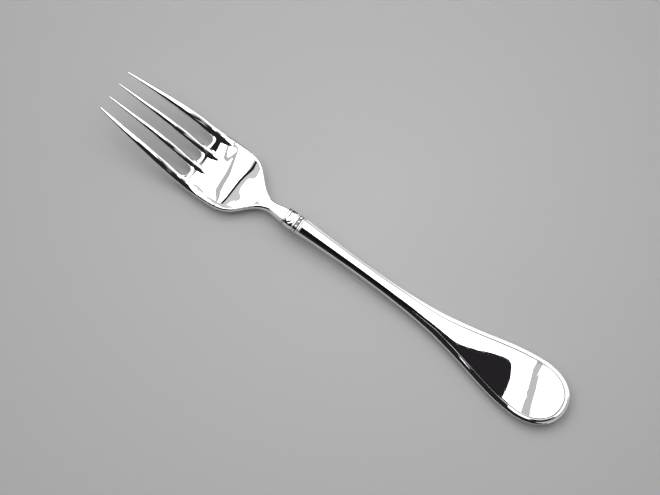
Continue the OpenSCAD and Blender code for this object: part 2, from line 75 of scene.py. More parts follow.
show("packed model, mm:", *(v / MM for v in (*cad_low, *cad_high)))

# %% [markdown]
# ## Sizes
# Distances are in millimetres. A station is a distance along the fork from the tine tips. What
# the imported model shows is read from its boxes. The rest are the fork's own sizes, and each is
# given where it is first needed.

# %% Read the main sizes
head_low, head_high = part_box("fork_head")
collar_low, collar_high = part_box("collar")
shell_low, shell_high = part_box("handle_front_shell")
tips_x = cad_low.x / MM
LENGTH = 206.0
HEAD_LENGTH = collar_low.x / MM - tips_x
HEAD_WIDTH = (head_high.y - head_low.y) / MM
MOUTH = shell_low.x / MM - tips_x
END_WIDTH = (shell_high.y - shell_low.y) / MM
COLLAR_WIDTH = (collar_high.y - collar_low.y) / MM
COLLAR_THICKNESS = (collar_high.z - collar_low.z) / MM
COLLAR_HEIGHT = (collar_high.z + collar_low.z) / 2 / MM
show("head, length and width:", HEAD_LENGTH, HEAD_WIDTH)
show("handle, first and last station:", MOUTH, LENGTH)

# %% [markdown]
# Long silver forms have no corners along their length, and a mirror finish shows every kink. A
# spline through a few points can swing out between them. So each profile is a short table, drawn
# as straight runs and then blurred into one smooth line. The blur is a bell curve a few
# millimetres wide.

# %% Smooth curves from short tables
CURVE_STEPS = 1200
BELL_REACH = 3


def smooth_curve(pairs, length, blur):
    """Curve over stations in mm. Each pair is a share of length and the value there."""
    shares, heights = np.array(pairs, float).T
    along = np.linspace(shares[0], shares[-1], CURVE_STEPS)
    line = np.interp(along, shares, heights)
    step = (along[1] - along[0]) * length
    reach = int(BELL_REACH * blur / step)
    bell = np.exp(-0.5 * (np.arange(-reach, reach + 1) * step / blur) ** 2)
    before = 2 * line[0] - line[reach:0:-1]
    after = 2 * line[-1] - line[-2:-reach - 2:-1]
    soft = np.convolve(np.concatenate([before, line, after]), bell / bell.sum(), "valid")
    return lambda s: np.interp(np.asarray(s) / length, along, soft)


print("steps of a curve:", CURVE_STEPS)

# %% [markdown]
# A form could be modelled by hand with a subdivision modifier, but then its outline can't be
# given in millimetres. Here each piece is made of grids of points whose outer rows meet, and
# points that lie on each other are welded, so that the mesh is closed.

# %% Turn grids of points into one mesh object
WELD = 0.001
SHARP = math.radians(62)


def points_at(s, y, z):
    """Points at stations s, places y across and heights z, which may differ in shape."""
    return np.stack(np.broadcast_arrays(s + tips_x, y, z), -1)


def grid_faces(rows, columns, start=0, flip=False):
    """Quads of a grid of points that is stored row by row."""
    corner = start + np.arange(rows - 1)[:, None] * columns + np.arange(columns - 1)
    quads = np.stack([corner, corner + 1, corner + columns + 1, corner + columns], -1)
    quads = quads.reshape(-1, 4)
    return quads[:, ::-1] if flip else quads


def weld(mesh):
    """Joins points that lie on each other and turns all faces outwards."""
    work = bmesh.new()
    work.from_mesh(mesh)
    bmesh.ops.remove_doubles(work, verts=work.verts, dist=WELD * MM)
    bmesh.ops.dissolve_degenerate(work, edges=work.edges, dist=WELD * MM)
    bmesh.ops.recalc_face_normals(work, faces=work.faces)
    work.to_mesh(mesh)
    work.free()


def make_piece(name, points, faces, slot, node):
    """Smooth-shaded mesh from points in mm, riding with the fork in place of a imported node."""
    mesh = bpy.data.meshes.new(name)
    mesh.from_pydata((np.asarray(points) * MM).tolist(), [], [list(map(int, f)) for f in faces])
    piece = bpy.data.objects.new(name, mesh)
    bpy.context.scene.collection.objects.link(piece)
    weld(mesh)
    for face in mesh.polygons:
        face.use_smooth = True
    mesh.set_sharp_from_angle(angle=SHARP)
    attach(piece, "root")
    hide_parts(node)
    print(name, len(mesh.polygons), "faces")
    return piece


# %% [markdown]
# ## The camera
# The photo looks down on the fork at 70 degrees, square to its length, with the picture turned
# so that the fork runs from the upper left to the lower right. A long lens keeps it slender.

# %% Place the camera
ELEVATION = math.radians(70)
ROLL = math.radians(34.92)
DISTANCE = 690.03
AIM = Vector((-4.026, 1.427, 0))
LENS = 100
SENSOR = 36

back = Vector((0, -math.cos(ELEVATION), math.sin(ELEVATION)))
level = Vector((1, 0, 0))
rising = back.cross(level)
right = math.cos(ROLL) * level + math.sin(ROLL) * rising
up = back.cross(right)
eye = (AIM + DISTANCE * back) * MM
camera = bpy.data.objects.new("camera", bpy.data.cameras.new("camera"))
camera.data.lens = LENS
camera.data.sensor_width = SENSOR
camera.matrix_world = Matrix.Translation(eye) @ Matrix((right, up, back)).transposed().to_4x4()
bpy.context.scene.collection.objects.link(camera)
bpy.context.scene.camera = camera
show("camera, mm:", *(eye / MM))

# %% [markdown]
# ## The head
# Tines, palm and neck are forged from one bar. The tines are filed narrow towards their tips,
# the palm is dished, and all edges are rounded over. The surface is worked out on a grid of
# stations and columns, because a grid can follow the slots and stay smooth between them.
#
# Seen from the side, the tips stand high, the belly rests on the table and the neck rises to the
# collar. The bar is thin at the tips and thickest at the collar.

# %% Side profile of the head
TIP_THICKNESS = 0.6
PALM_THICKNESS = 2.65
NECK_THICKNESS = 4.3
DISH_DEPTH = 3.3
REST_FLAT = 0.05

rise = smooth_curve(
    [[0, 9.4], [0.093, 8.25], [0.186, 7.02], [0.28, 5.6], [0.37, 4.1], [0.44, 2.88],
     [0.5, 1.76], [0.545, 0.92], [0.575, 0.42], [0.6, 0.12], [0.62, 0.01], [0.635, 0],
     [0.66, 0.02], [0.7, 0.06], [0.745, 0.27], [0.8, 0.88], [0.855, 1.66], [0.912, 2.07],
     [1, 2.25]], HEAD_LENGTH, blur=1.8)
dish = smooth_curve(
    [[0, 0.14], [0.25, 0.16], [0.38, 0.18], [0.45, 0.25], [0.52, 0.42], [0.58, 0.55],
     [0.63, 0.6], [0.7, 0.6], [0.765, 0.5], [0.816, 0.24], [0.867, 0.06], [0.9, 0], [1, 0]],
    HEAD_LENGTH, blur=1.6)
tine_body = smooth_curve(
    [[0, 0], [0.05, 0.14], [0.093, 0.26], [0.186, 0.53], [0.28, 0.76], [0.37, 0.9], [0.51, 1],
     [1, 1]], HEAD_LENGTH, blur=1.5)
neck_body = smooth_curve(
    [[0, 0], [0.72, 0], [0.765, 0.1], [0.816, 0.14], [0.867, 0.17], [0.918, 0.42],
     [0.957, 0.73], [1, 1.05]], HEAD_LENGTH, blur=1.0)


def mix(a, b, share):
    return a + (b - a) * share


def head_thickness(s):
    return (mix(TIP_THICKNESS, PALM_THICKNESS, tine_body(s))
            + (NECK_THICKNESS - PALM_THICKNESS) * neck_body(s))


fifths = np.linspace(0, HEAD_LENGTH, 6)
show("underside's heights along the head:", *rise(fifths))
show("thickness along the head:", *head_thickness(fifths))

# %% [markdown]
# Seen from above, the tines spread a little towards the palm. The palm draws in to a slender
# neck, which flares again just before the collar. The outline is made of one curve for the
# tines and one for the palm, and they pass into each other behind the roots.

# %% Outline of the head
TINE_LENGTH = 39.6
TIP_SPREAD = 18.2
NECK_WIDTH = 4.7
SHOULDER_WIDTH = 6.2
JOIN_FROM, JOIN_TO = 0.53 * HEAD_LENGTH, 0.6 * HEAD_LENGTH

tine_spread = smooth_curve(
    [[0, 0], [0.18, 0.27], [0.36, 0.5], [0.55, 0.7], [0.73, 0.86], [1, 0.975], [1.18, 1],
     [2, 1]], TINE_LENGTH, blur=2.5)
shoulder = smooth_curve(
    [[0, 0.99], [0.51, 0.99], [0.6, 1], [0.66, 0.99], [0.705, 0.97], [0.745, 0.89],
     [0.778, 0.757], [0.802, 0.585], [0.827, 0.396], [0.852, 0.21], [0.878, 0.08],
     [0.905, 0.01], [0.925, -0.01], [1, -0.01]], HEAD_LENGTH, blur=0.9)
flare = smooth_curve([[0, 0], [0.925, 0], [0.945, 0.15], [0.97, 0.7], [1, 1]], HEAD_LENGTH,
                     blur=0.5)


def ease(x):
    """Smooth step from 0 to 1 while x goes from 0 to 1."""
    x = np.clip(x, 0, 1)
    return x * x * (3 - 2 * x)


def head_half_width(s):
    tines = mix(TIP_SPREAD / 2, HEAD_WIDTH / 2, tine_spread(s))
    palm = mix(NECK_WIDTH / 2, HEAD_WIDTH / 2, shoulder(s))
    palm = palm + (SHOULDER_WIDTH - NECK_WIDTH) / 2 * flare(s)
    return mix(tines, palm, ease((s - JOIN_FROM) / (JOIN_TO - JOIN_FROM)))


show("width at the roots:", 2 * head_half_width(TINE_LENGTH))

# %% [markdown]
# Each tine grows from a narrow tip. The inner pair stands almost parallel, and the outer pair
# follows the outline. What is left between them are the slots, so the slots need no sizes of
# their own.

# %% Tines and the gaps between them
INNER_TIP_SPREAD = 6.3
INNER_ROOT_SPREAD = 7.3
INNER_TINE_WIDTH = 3.1
OUTER_TINE_WIDTH = 3.8
TIP_WIDTH = 0.55

tine_growth = smooth_curve([[0, 0], [0.18, 0.28], [0.55, 0.73], [0.92, 1], [2, 1]],
                           TINE_LENGTH, blur=1.5)


def inner_middle(s):
    """Middle of an inner tine."""
    return mix(INNER_TIP_SPREAD, INNER_ROOT_SPREAD, np.minimum(s / TINE_LENGTH, 1)) / 2


def tine_width(s, root):
    return mix(TIP_WIDTH, root, tine_growth(s))


def middle_gap(s):
    """Half the gap between the inner tines."""
    return inner_middle(s) - tine_width(s, INNER_TINE_WIDTH) / 2


def side_gap(s):
    """Near and far edge of the slot beside an inner tine."""
    near = inner_middle(s) + tine_width(s, INNER_TINE_WIDTH) / 2
    return near, head_half_width(s) - tine_width(s, OUTER_TINE_WIDTH)


show("gap between the inner tines:", 2 * middle_gap(TINE_LENGTH / 2))

# %% [markdown]
# A slot ends in a half round that is a little squarish. Curves of this kind come back in the
# collar's oval and the handle's round end, and all are powers of the two distances that add up
# to one. With the power 2 they would be ellipses.

# %% Ends of the slots
SLOT_RADIUS = float(middle_gap(TINE_LENGTH))
SLOT_TURN = TINE_LENGTH - SLOT_RADIUS
SIDE_NEAR, SIDE_FAR = (float(v) for v in side_gap(SLOT_TURN))
SIDE_MIDDLE = (SIDE_NEAR + SIDE_FAR) / 2
SIDE_RADIUS = (SIDE_FAR - SIDE_NEAR) / 2
SIDE_SHARE = SIDE_MIDDLE / float(head_half_width(SLOT_TURN))
SLOT_POWER = 2.8
LANE_RETURN = 4


def squarish(q, exponent):
    """1 at q = 0 and down to 0 at q = 1, like the quarter of a squarish oval."""
    return np.maximum(1 - q ** exponent, 0) ** (1 / exponent)


def squarish_reach(a, b, exponent):
    """1 on a squarish oval, less inside it and more outside."""
    return (a ** exponent + b ** exponent) ** (1 / exponent)


def slot_closing(s):
    """Share of a slot's width that is still open: 1 before its end, 0 behind it."""
    return squarish(np.clip((s - SLOT_TURN) / SLOT_RADIUS, 0, 1), SLOT_POWER)


def middle_half_gap(s):
    return middle_gap(np.minimum(s, SLOT_TURN))


def side_bound(s):
    """Middle of a side slot, and behind it the line that parts two strips of the palm."""
    near, far = side_gap(s)
    behind = mix(SIDE_MIDDLE, head_half_width(s) * SIDE_SHARE,
                 np.clip((s - SLOT_TURN) / (SLOT_RADIUS * LANE_RETURN), 0, 1))
    return np.where(s <= SLOT_TURN, (near + far) / 2, behind)


def side_half_gap(s):
    near, far = side_gap(s)
    return np.where(s <= SLOT_TURN, (far - near) / 2, SIDE_RADIUS)


show("radii of the slots' ends:", SLOT_RADIUS, SIDE_RADIUS)

# %% [markdown]
# A file and a buffing wheel round every edge of the head. The rounding is a quarter of an
# ellipse over the distance to the nearest edge, so each point needs its distance from the
# outline and from the slots.

# %% Rounded edges of the head
LEAN_STEP = 0.2
SLOT_ROUNDING = 1.35
INNER_SHARE = 0.5
OUTER_SHARE = 0.64

edge_reach = smooth_curve(
    [[0, 2.1], [0.36, 2.3], [0.46, 2.6], [0.51, 3.1], [0.57, 3.0], [0.62, 1.9], [0.67, 1.2],
     [0.74, 1.1], [1, 1.2]], HEAD_LENGTH, blur=1.5)


def quarter(x):
    """Quarter of an ellipse: upright at x = 0, level from x = 1 on."""
    x = np.clip(x, 0, 1)
    return np.sqrt(1 - (1 - x) ** 2)


def slant(half_width, s, step):
    """The way straight across to an outline, as a multiple of the shortest way."""
    lean = (half_width(s + step) - half_width(s - step)) / (2 * step)
    return np.sqrt(1 + lean ** 2)


def slot_distance(s, y, middle, half_gap, radius):
    """Distance from the edge of a slot, beside it and behind its squarish end."""
    beside = np.abs(y - middle) - half_gap
    ahead = np.maximum(s - SLOT_TURN, 0) / SLOT_RADIUS
    ring = squarish_reach(ahead, np.abs(y - middle) / radius, SLOT_POWER)
    return np.maximum(np.where(s <= SLOT_TURN, beside, (ring - 1) * radius), 0)


def head_rounding(s, y, outer_tine):
    """0 on the head's edges and 1 where all of them are out of reach."""
    outer = np.maximum(head_half_width(s) - np.abs(y), 0) / slant(head_half_width, s, LEAN_STEP)
    centre = slot_distance(s, y, 0, middle_half_gap(s), SLOT_RADIUS)
    beside = slot_distance(s, np.abs(y), side_bound(np.minimum(s, SLOT_TURN)),
                           side_half_gap(s), SIDE_RADIUS)
    tine = tine_width(s, OUTER_TINE_WIDTH if outer_tine else INNER_TINE_WIDTH)
    behind = ease((s - SLOT_TURN) / (2 * SLOT_RADIUS))
    share = OUTER_SHARE if outer_tine else INNER_SHARE
    outer_reach = np.minimum(edge_reach(s), mix(tine * share, edge_reach(s), behind))
    slot_reach = np.minimum(SLOT_ROUNDING, mix(tine * (1 - share), SLOT_ROUNDING, behind))
    return (quarter(outer / outer_reach) * quarter(beside / slot_reach)
            * quarter(centre / slot_reach))


show("rounding of the outer edges along the head:", *edge_reach(fifths))

# %% [markdown]
# A shallow hollow runs back from each slot into the palm, where the file went on a little. The
# outer edges roll down beside the roots. Both are soft, and they are what turns the mirrored
# studio into the dark and light shapes round the roots.

# %% Hollows and rolled edges
SCOOP_DEPTH = 0.68
SCOOP_REACH = 1.5
SCOOP_RUN = 9
SCOOP_HOLD = 1
EDGE_ROLL = 0.6
ROLL_REACH = 3.8
ROLL_FROM, ROLL_FULL, ROLL_FADE, ROLL_TO = 31, 38, 41, 49


def scoop(s, y):
    """Depth of the hollow that surrounds the end of a slot."""
    nearest = np.maximum(np.minimum(
        np.abs(y) - middle_half_gap(s),
        np.abs(np.abs(y) - side_bound(s)) - side_half_gap(s)), 0)
    return (SCOOP_DEPTH * np.exp(-(nearest / SCOOP_REACH) ** 2)
            * ease((s - SLOT_TURN + SCOOP_RUN) / SCOOP_RUN)
            * (1 - ease((s - TINE_LENGTH - SCOOP_HOLD) / SCOOP_RUN)))


def rolled_edge(s, y):
    """How far the outer edge is rolled down at a point."""
    inwards = head_half_width(s) - np.abs(y)
    return (EDGE_ROLL * np.clip(1 - inwards / ROLL_REACH, 0, 1) ** 2
            * ease((s - ROLL_FROM) / (ROLL_FULL - ROLL_FROM))
            * (1 - ease((s - ROLL_FADE) / (ROLL_TO - ROLL_FADE))))


show("hollow and roll at the outer root:", scoop(TINE_LENGTH, SIDE_MIDDLE),
     rolled_edge(TINE_LENGTH, head_half_width(TINE_LENGTH)))

# %% Upper side and underside
TOP_LAND = 0.12
UNDER_LAND = 0.34


def head_surface(s, y, outer_tine):
    """Heights of the upper side and the underside at stations s and places y."""
    thickness = head_thickness(s)
    middle = (rise(s) - REST_FLAT + thickness / 2
              + DISH_DEPTH * dish(s) * (y / head_half_width(s)) ** 2)
    rounding = head_rounding(s, y, outer_tine)
    top = thickness / 2 * (TOP_LAND + (1 - TOP_LAND) * rounding)
    under = thickness / 2 * (UNDER_LAND + (1 - UNDER_LAND) * rounding)
    roll = rolled_edge(s, y)
    return middle + top - scoop(s, y) - roll, middle - under - roll / 2


show("top and underside at the collar:", *head_surface(HEAD_LENGTH, 0.0, False))

# %% [markdown]
# The head is laid out in four lanes. A lane is a tine, and behind the slots it goes on as a
# strip of the palm, welded to its neighbours. Each lane has an upper and a lower grid, walls
# along its open edges and a wall at each end. Columns crowd towards a lane's edges and rows
# towards the tips, where the form turns fastest.

# %% Stations and lanes
TINE_ROWS = 84
SLOT_ROWS = 12
PALM_ROWS = 120
LANE_COLUMNS = 30
LANES = 4
TIP_CROWDING = 1.5

tine_rows = SLOT_TURN * np.linspace(0, 1, TINE_ROWS) ** TIP_CROWDING
slot_rows = SLOT_TURN + SLOT_RADIUS * np.sin(np.linspace(0, math.pi / 2, SLOT_ROWS + 1)[1:])
palm_rows = np.linspace(TINE_LENGTH, HEAD_LENGTH, PALM_ROWS + 1)[1:]
stations = np.concatenate([tine_rows, slot_rows, palm_rows])
across = (1 - np.cos(np.linspace(0, math.pi, LANE_COLUMNS))) / 2
root_row = TINE_ROWS + SLOT_ROWS - 1


def lane(s, i):
    """Low and high edge of lane i, from 0 to 3."""
    middles = [-head_half_width(s), -side_bound(s), 0 * s, side_bound(s), head_half_width(s)]
    gap = side_half_gap(s) * slot_closing(s)
    centre = middle_half_gap(s) * slot_closing(s)
    gaps = [0 * s, gap, centre, gap, 0 * s]
    return middles[i] + gaps[i], middles[i + 1] - gaps[i + 1]


print("stations and columns:", len(stations), LANES * LANE_COLUMNS)

# %% Build the head
points, faces = [], []
for i in range(LANES):
    low, high = lane(stations, i)
    s = np.repeat(stations[:, None], LANE_COLUMNS, 1)
    y = low[:, None] + (high - low)[:, None] * across
    upper, lower = head_surface(s, y, i in (0, LANES - 1))
    for z in (upper, np.maximum(lower, 0)):
        start = sum(len(p) for p in points)
        points.append(points_at(s, y, z).reshape(-1, 3))
        faces.append(grid_faces(len(stations), LANE_COLUMNS, start, z is not upper))
    top = start - len(points[-1])
    rows = np.arange(len(stations) - 1)
    for column, is_outline in ((0, i == 0), (LANE_COLUMNS - 1, i == LANES - 1)):
        walled = rows if is_outline else rows[:root_row]
        a = walled * LANE_COLUMNS + column
        b = a + LANE_COLUMNS
        faces.append(np.stack([top + a, top + b, start + b, start + a], -1))
    for end in (0, len(stations) - 1):
        a = end * LANE_COLUMNS + np.arange(LANE_COLUMNS - 1)
        faces.append(np.stack([top + a, top + a + 1, start + a + 1, start + a], -1))
make_piece("forged_head", np.concatenate(points), np.concatenate(faces), "head_silver",
           "fork_head")

# %% [markdown]
# ## The collar and its rings
# The collar is a smooth oval band with a small raised oval on top. Behind it come a wire, a row
# of beads, a second wire and the ring at the handle's mouth. They share one oval, which is a
# little squarer than an ellipse. Scaling a torus would thin a wire on the long sides, so each
# ring is swept along the oval instead.

# %% Stations and ovals of the rings
OVAL_POWER = 2.5
OVAL_SIDES = 144
BAND_LENGTH = 4.2
WIRE = 0.7
BEAD = 1.4
MOUTH_RING = 0.8
SEAT_GAP = 0.05
BAND_END = HEAD_LENGTH + BAND_LENGTH
FRONT_WIRE_END = BAND_END + WIRE
BEAD_END = FRONT_WIRE_END + BEAD
REAR_WIRE_END = BEAD_END + WIRE
collar_across = COLLAR_WIDTH / 2
collar_up = COLLAR_THICKNESS / 2
seat = MOUTH_RING + SEAT_GAP
oval_angles = np.linspace(0, 2 * math.pi, OVAL_SIDES, endpoint=False)


def power(v, exponent):
    return np.sign(v) * np.abs(v) ** exponent


def oval(across_mm, up_mm):
    """Points (y, height over the axis) of the collar's oval."""
    return np.stack([across_mm * power(np.cos(oval_angles), 2 / OVAL_POWER),
                     up_mm * power(np.sin(oval_angles), 2 / OVAL_POWER)], -1)


def ring_points(station, outline):
    return points_at(station, outline[:, 0], outline[:, 1] + COLLAR_HEIGHT)


def belt_faces(rows, around, closed=False):
    """Quads between rows of points that each go once round. Closed joins last and first."""
    return [[r * around + k, (r + 1) % rows * around + k,
             (r + 1) % rows * around + (k + 1) % around, r * around + (k + 1) % around]
            for r in range(rows if closed else rows - 1) for k in range(around)]


show("collar, width and thickness:", COLLAR_WIDTH, COLLAR_THICKNESS)

# %% [markdown]
# The band swells gently to its rear edge and is rounded at both ends. Its sleeve goes on inside
# the rings and carries them. The raised oval has a fine sunk line round it.

# %% Build the collar
BAND_ROWS = 60
BOSS_LENGTH = 2.7
BOSS_WIDTH = 4.6
BOSS_RISE = 0.05
BOSS_SLOPE = 0.8
BOSS_LINE = 0.06
BOSS_LINE_AT, BOSS_LINE_REACH = 1.06, 0.13
band = smooth_curve(
    [[0, 0.84], [0.03, 0.885], [0.07, 0.91], [0.3, 0.945], [0.6, 0.976], [0.8, 0.993],
     [0.9, 1], [0.96, 0.992], [0.985, 0.975], [1, 0.95]], BAND_LENGTH, blur=0.05)
boss_middle = HEAD_LENGTH + BAND_LENGTH / 2


def boss(station, outline):
    """Raises the middle of the band's top to a small oval with a fine line round it."""
    q = np.hypot((station - boss_middle) / (BOSS_LENGTH / 2), outline[:, 0] / (BOSS_WIDTH / 2))
    lift = (BOSS_RISE * ease((1 - q) / BOSS_SLOPE)
            - BOSS_LINE * np.exp(-((q - BOSS_LINE_AT) / BOSS_LINE_REACH) ** 2))
    return np.where(outline[:, 1] > 0, lift, 0)


def closed_tube(rings):
    """Points and faces of a solid through rings, with a fan on each end."""
    n = len(rings[0])
    last_ring = (len(rings) - 1) * n
    first_hub, last_hub = len(rings) * n, len(rings) * n + 1
    points = np.concatenate(rings + [rings[0].mean(0)[None], rings[-1].mean(0)[None]])
    faces = belt_faces(len(rings), n)
    for k in range(n):
        m = (k + 1) % n
        faces += [[first_hub, k, m], [last_hub, last_ring + k, last_ring + m]]
    return points, faces


rings = []
for q in np.linspace(0, 1, BAND_ROWS):
    share, station = band(q * BAND_LENGTH), HEAD_LENGTH + q * BAND_LENGTH
    outline = oval(collar_across * share, collar_up * share)
    outline[:, 1] += boss(station, outline)
    rings.append(ring_points(station, outline))
sleeve = oval(collar_across - seat, collar_up - seat)
rings.append(ring_points(BAND_END, sleeve))
rings.append(ring_points(MOUTH, sleeve))
make_piece("collar_band", *closed_tube(rings), "collar_silver", "collar")

# %% [markdown]
# A wire is bent round the collar and soldered. Its middle line is the oval drawn in by half the
# wire, and a small circle stands square to that line at each point.

# %% Build the wires and the mouth ring
WIRE_SIDES = 20


def oval_wire(name, middle, diameter, node):
    """Round wire bent to the collar's oval, with its middle at a station."""
    path = oval(collar_across - diameter / 2, collar_up - diameter / 2)
    along = np.roll(path, -1, 0) - np.roll(path, 1, 0)
    out = np.stack([along[:, 1], -along[:, 0]], -1) / np.linalg.norm(along, axis=1)[:, None]
    angles = np.linspace(0, 2 * math.pi, WIRE_SIDES, endpoint=False)
    reach = path[:, None] + out[:, None] * (diameter / 2 * np.cos(angles))[:, None]
    x = middle + tips_x + diameter / 2 * np.sin(angles)
    x = np.repeat(x[None], OVAL_SIDES, 0)
    points = np.stack([x, reach[..., 0], reach[..., 1] + COLLAR_HEIGHT], -1).reshape(-1, 3)
    return make_piece(name, points, belt_faces(OVAL_SIDES, WIRE_SIDES, closed=True),
                      "collar_silver", node)


oval_wire("front_ring", (BAND_END + FRONT_WIRE_END) / 2, WIRE, "front_wire")
oval_wire("rear_ring", (BEAD_END + REAR_WIRE_END) / 2, WIRE, "rear_wire")
oval_wire("handle_mouth_ring", (REAR_WIRE_END + MOUTH) / 2, MOUTH_RING, "mouth_ring")

# %% [markdown]
# The beads are one strip of round pearls, stamped and bent round the collar. They stand at even
# steps along the oval, so their places come from its measured length and not from angles.

# %% Strip and bead
BEAD_ROUNDS = 16
BEAD_SLICES = 24
STRIP_WALL = 0.35


def bead_strip(station_from, station_to, across_mm, up_mm, wall):
    """Thin oval tube that carries the beads."""
    outer = oval(across_mm, up_mm)
    inner = oval(across_mm - wall, up_mm - wall)
    loops = [ring_points(station_from, outer), ring_points(station_to, outer),
             ring_points(station_to, inner), ring_points(station_from, inner)]
    return np.concatenate(loops), belt_faces(len(loops), OVAL_SIDES, closed=True)


def ball(centre, diameter):
    """Points and faces of one bead."""
    rounds = np.linspace(0, math.pi, BEAD_ROUNDS + 1)
    slices = np.linspace(0, 2 * math.pi, BEAD_SLICES, endpoint=False)
    x = np.cos(rounds)[:, None] + 0 * slices
    y = np.sin(rounds)[:, None] * np.cos(slices)
    z = np.sin(rounds)[:, None] * np.sin(slices)
    points = np.stack([x, y, z], -1).reshape(-1, 3) * diameter / 2 + centre
    return points, belt_faces(BEAD_ROUNDS + 1, BEAD_SLICES)


# %% Build the bead row
BEADS = 9
BEAD_TURN = 0.25

path = oval(collar_across - BEAD / 2, collar_up - BEAD / 2)
steps = np.linalg.norm(np.roll(path, -1, 0) - path, axis=1)
way = np.concatenate([[0], np.cumsum(steps)])
loop = np.concatenate([path, path[:1]])
points, faces = bead_strip(FRONT_WIRE_END, BEAD_END, collar_across - seat + SEAT_GAP + STRIP_WALL,
                           collar_up - seat + SEAT_GAP + STRIP_WALL, STRIP_WALL)
points = [points]
for k in range(BEADS):
    at = way[-1] * ((k / BEADS + BEAD_TURN) % 1)
    y = np.interp(at, way, loop[:, 0])
    z = np.interp(at, way, loop[:, 1])
    centre = [(FRONT_WIRE_END + BEAD_END) / 2 + tips_x, y, z + COLLAR_HEIGHT]
    more, quads = ball(centre, BEAD)
    start = sum(len(p) for p in points)
    faces = faces + [[start + v for v in f] for f in quads]
    points.append(more)
make_piece("bead_row", np.concatenate(points), faces, "bead_silver", "bead_ring")
show("step from bead to bead:", way[-1] / BEADS)

# %% [markdown]
# ## The handle
# The handle is pressed from sheet in two halves and soldered along the sides. Both halves are
# grids from edge to edge, with a second grid one wall further in, so that each is a real shell.
#
# Seen from above, the handle narrows behind the mouth to a waist and swells to its round end.

# %% Outline of the handle
MOUTH_WIDTH = 6.7
WAIST_WIDTH = 5.3
END_LENGTH = 16
END_START = LENGTH - END_LENGTH
END_POWER = 2.2

run = END_START - MOUTH
swell = smooth_curve(
    [[0, 0], [0.236, 0], [0.38, 0.023], [0.497, 0.089], [0.603, 0.204], [0.71, 0.426],
     [0.82, 0.704], [0.892, 0.876], [0.964, 0.985], [1, 1], [1.2, 1]], run, blur=2.5)
mouth_flare = smooth_curve([[0, 1], [0.1, 0.42], [0.236, 0], [1.2, 0]], run, blur=3)


def end_turn(s, length=END_LENGTH):
    """1 up to the round end, and from there down to 0 at its tip."""
    return squarish(np.clip((s - END_START) / length, 0, 1), END_POWER)


def straight_half_width(s):
    """Half width without the turn of the round end."""
    q = np.minimum(s, END_START) - MOUTH
    return (WAIST_WIDTH / 2 + (END_WIDTH - WAIST_WIDTH) / 2 * swell(q)
            + (MOUTH_WIDTH - WAIST_WIDTH) / 2 * mouth_flare(q))


def handle_half_width(s):
    return straight_half_width(s) * end_turn(s)


show("widths along the handle:", *(2 * straight_half_width(np.linspace(MOUTH, LENGTH, 6))))

# %% [markdown]
# Seen from the side, the seam between the halves comes down from the collar and lifts again
# near the end, while the handle rests on the table just before it. The front half stands up to
# its crown over the seam, and the back half hangs down by its depth.

# %% Side profile of the handle
MOUTH_CROWN = 2.45
HANDLE_CROWN = 1.5
HANDLE_DEPTH = 2.35
END_LIFT = 2.0
LIFT_START = 176.0
LIFT_POWER = 2.6
END_FALL = 0.12

seam_fall = smooth_curve(
    [[-0.15, -0.2], [0, 0], [0.1, 0.13], [0.236, 0.345], [0.38, 0.58], [0.5, 0.78],
     [0.65, 0.9], [0.8, 0.96], [1, 1], [1.2, 1]], run, blur=5)
crown_fall = smooth_curve(
    [[-0.15, -0.5], [0, 0], [0.1, 0.35], [0.2, 0.52], [0.32, 0.58], [0.46, 0.6], [0.6, 0.66],
     [0.74, 0.79], [0.86, 0.92], [0.96, 0.98], [1.04, 1], [1.2, 1]], run, blur=4)
depth_fall = smooth_curve([[0, 0], [0.1, 0.5], [0.25, 1], [1.2, 1]], run, blur=3)


def seam_height(s):
    fall = mix(COLLAR_HEIGHT, HANDLE_DEPTH - REST_FLAT, seam_fall(s - MOUTH))
    lift = np.maximum(s - LIFT_START, 0) / (LENGTH - LIFT_START)
    return fall + END_LIFT * lift ** LIFT_POWER


def end_share(s):
    """0 before the round end and 1 at its tip."""
    return np.maximum(s - END_START, 0) / END_LENGTH


def fall_off(s):
    return 1 - END_FALL * end_share(s) ** 2


def crown(s):
    return mix(MOUTH_CROWN, HANDLE_CROWN, crown_fall(s - MOUTH)) * fall_off(s)


def depth(s):
    return mix(MOUTH_CROWN, HANDLE_DEPTH, depth_fall(s - MOUTH)) * fall_off(s)


for s in (MOUTH, LIFT_START, LENGTH):
    show("station, seam, crown and depth:", s, seam_height(s), crown(s), depth(s))

# %% [markdown]
# The front has a raised border, a fine sunk line inside it and a low crowned panel. Towards the
# collar the handle is a slender stem, too narrow for a border, and its front is one round arch.
# Both forms are worked out everywhere as shares of the crown, and the stem fades into the blade.

# %% Border of the front
BORDER_WIDTH = 2.0
BORDER_LIMIT = 0.42
HANDLE_LEAN_STEP = 0.4


def border(s):
    return np.minimum(BORDER_WIDTH, BORDER_LIMIT * straight_half_width(s))


def edge_distance(s, y):
    """Distance from the handle's edge, beside the blade and round its end."""
    beside = ((handle_half_width(s) - np.abs(y))
              / slant(straight_half_width, s, HANDLE_LEAN_STEP))
    share = end_share(s)
    ring = squarish_reach(share, np.abs(y) * 2 / END_WIDTH, END_POWER)
    around = (1 - ring) * mix(END_WIDTH / 2, END_LENGTH, share)
    return np.maximum(np.where(s <= END_START, beside, around), 0)


show("border half way along the fork and at the end:", border(LENGTH / 2), border(END_START))

# %% Height of the front
BORDER_LAND = 0.3
BORDER_TOP = 0.885
BORDER_ROUND = 0.6
BORDER_TILT = 0.16
PANEL_HEIGHT = 0.86
PANEL_LEAST = 0.4
PANEL_FROM = 0.82
LINE_DEPTH = 0.03
LINE_REACH = 0.17
STEM_POWER = 2.7
STEM_END = 146
STEM_FADE = 26


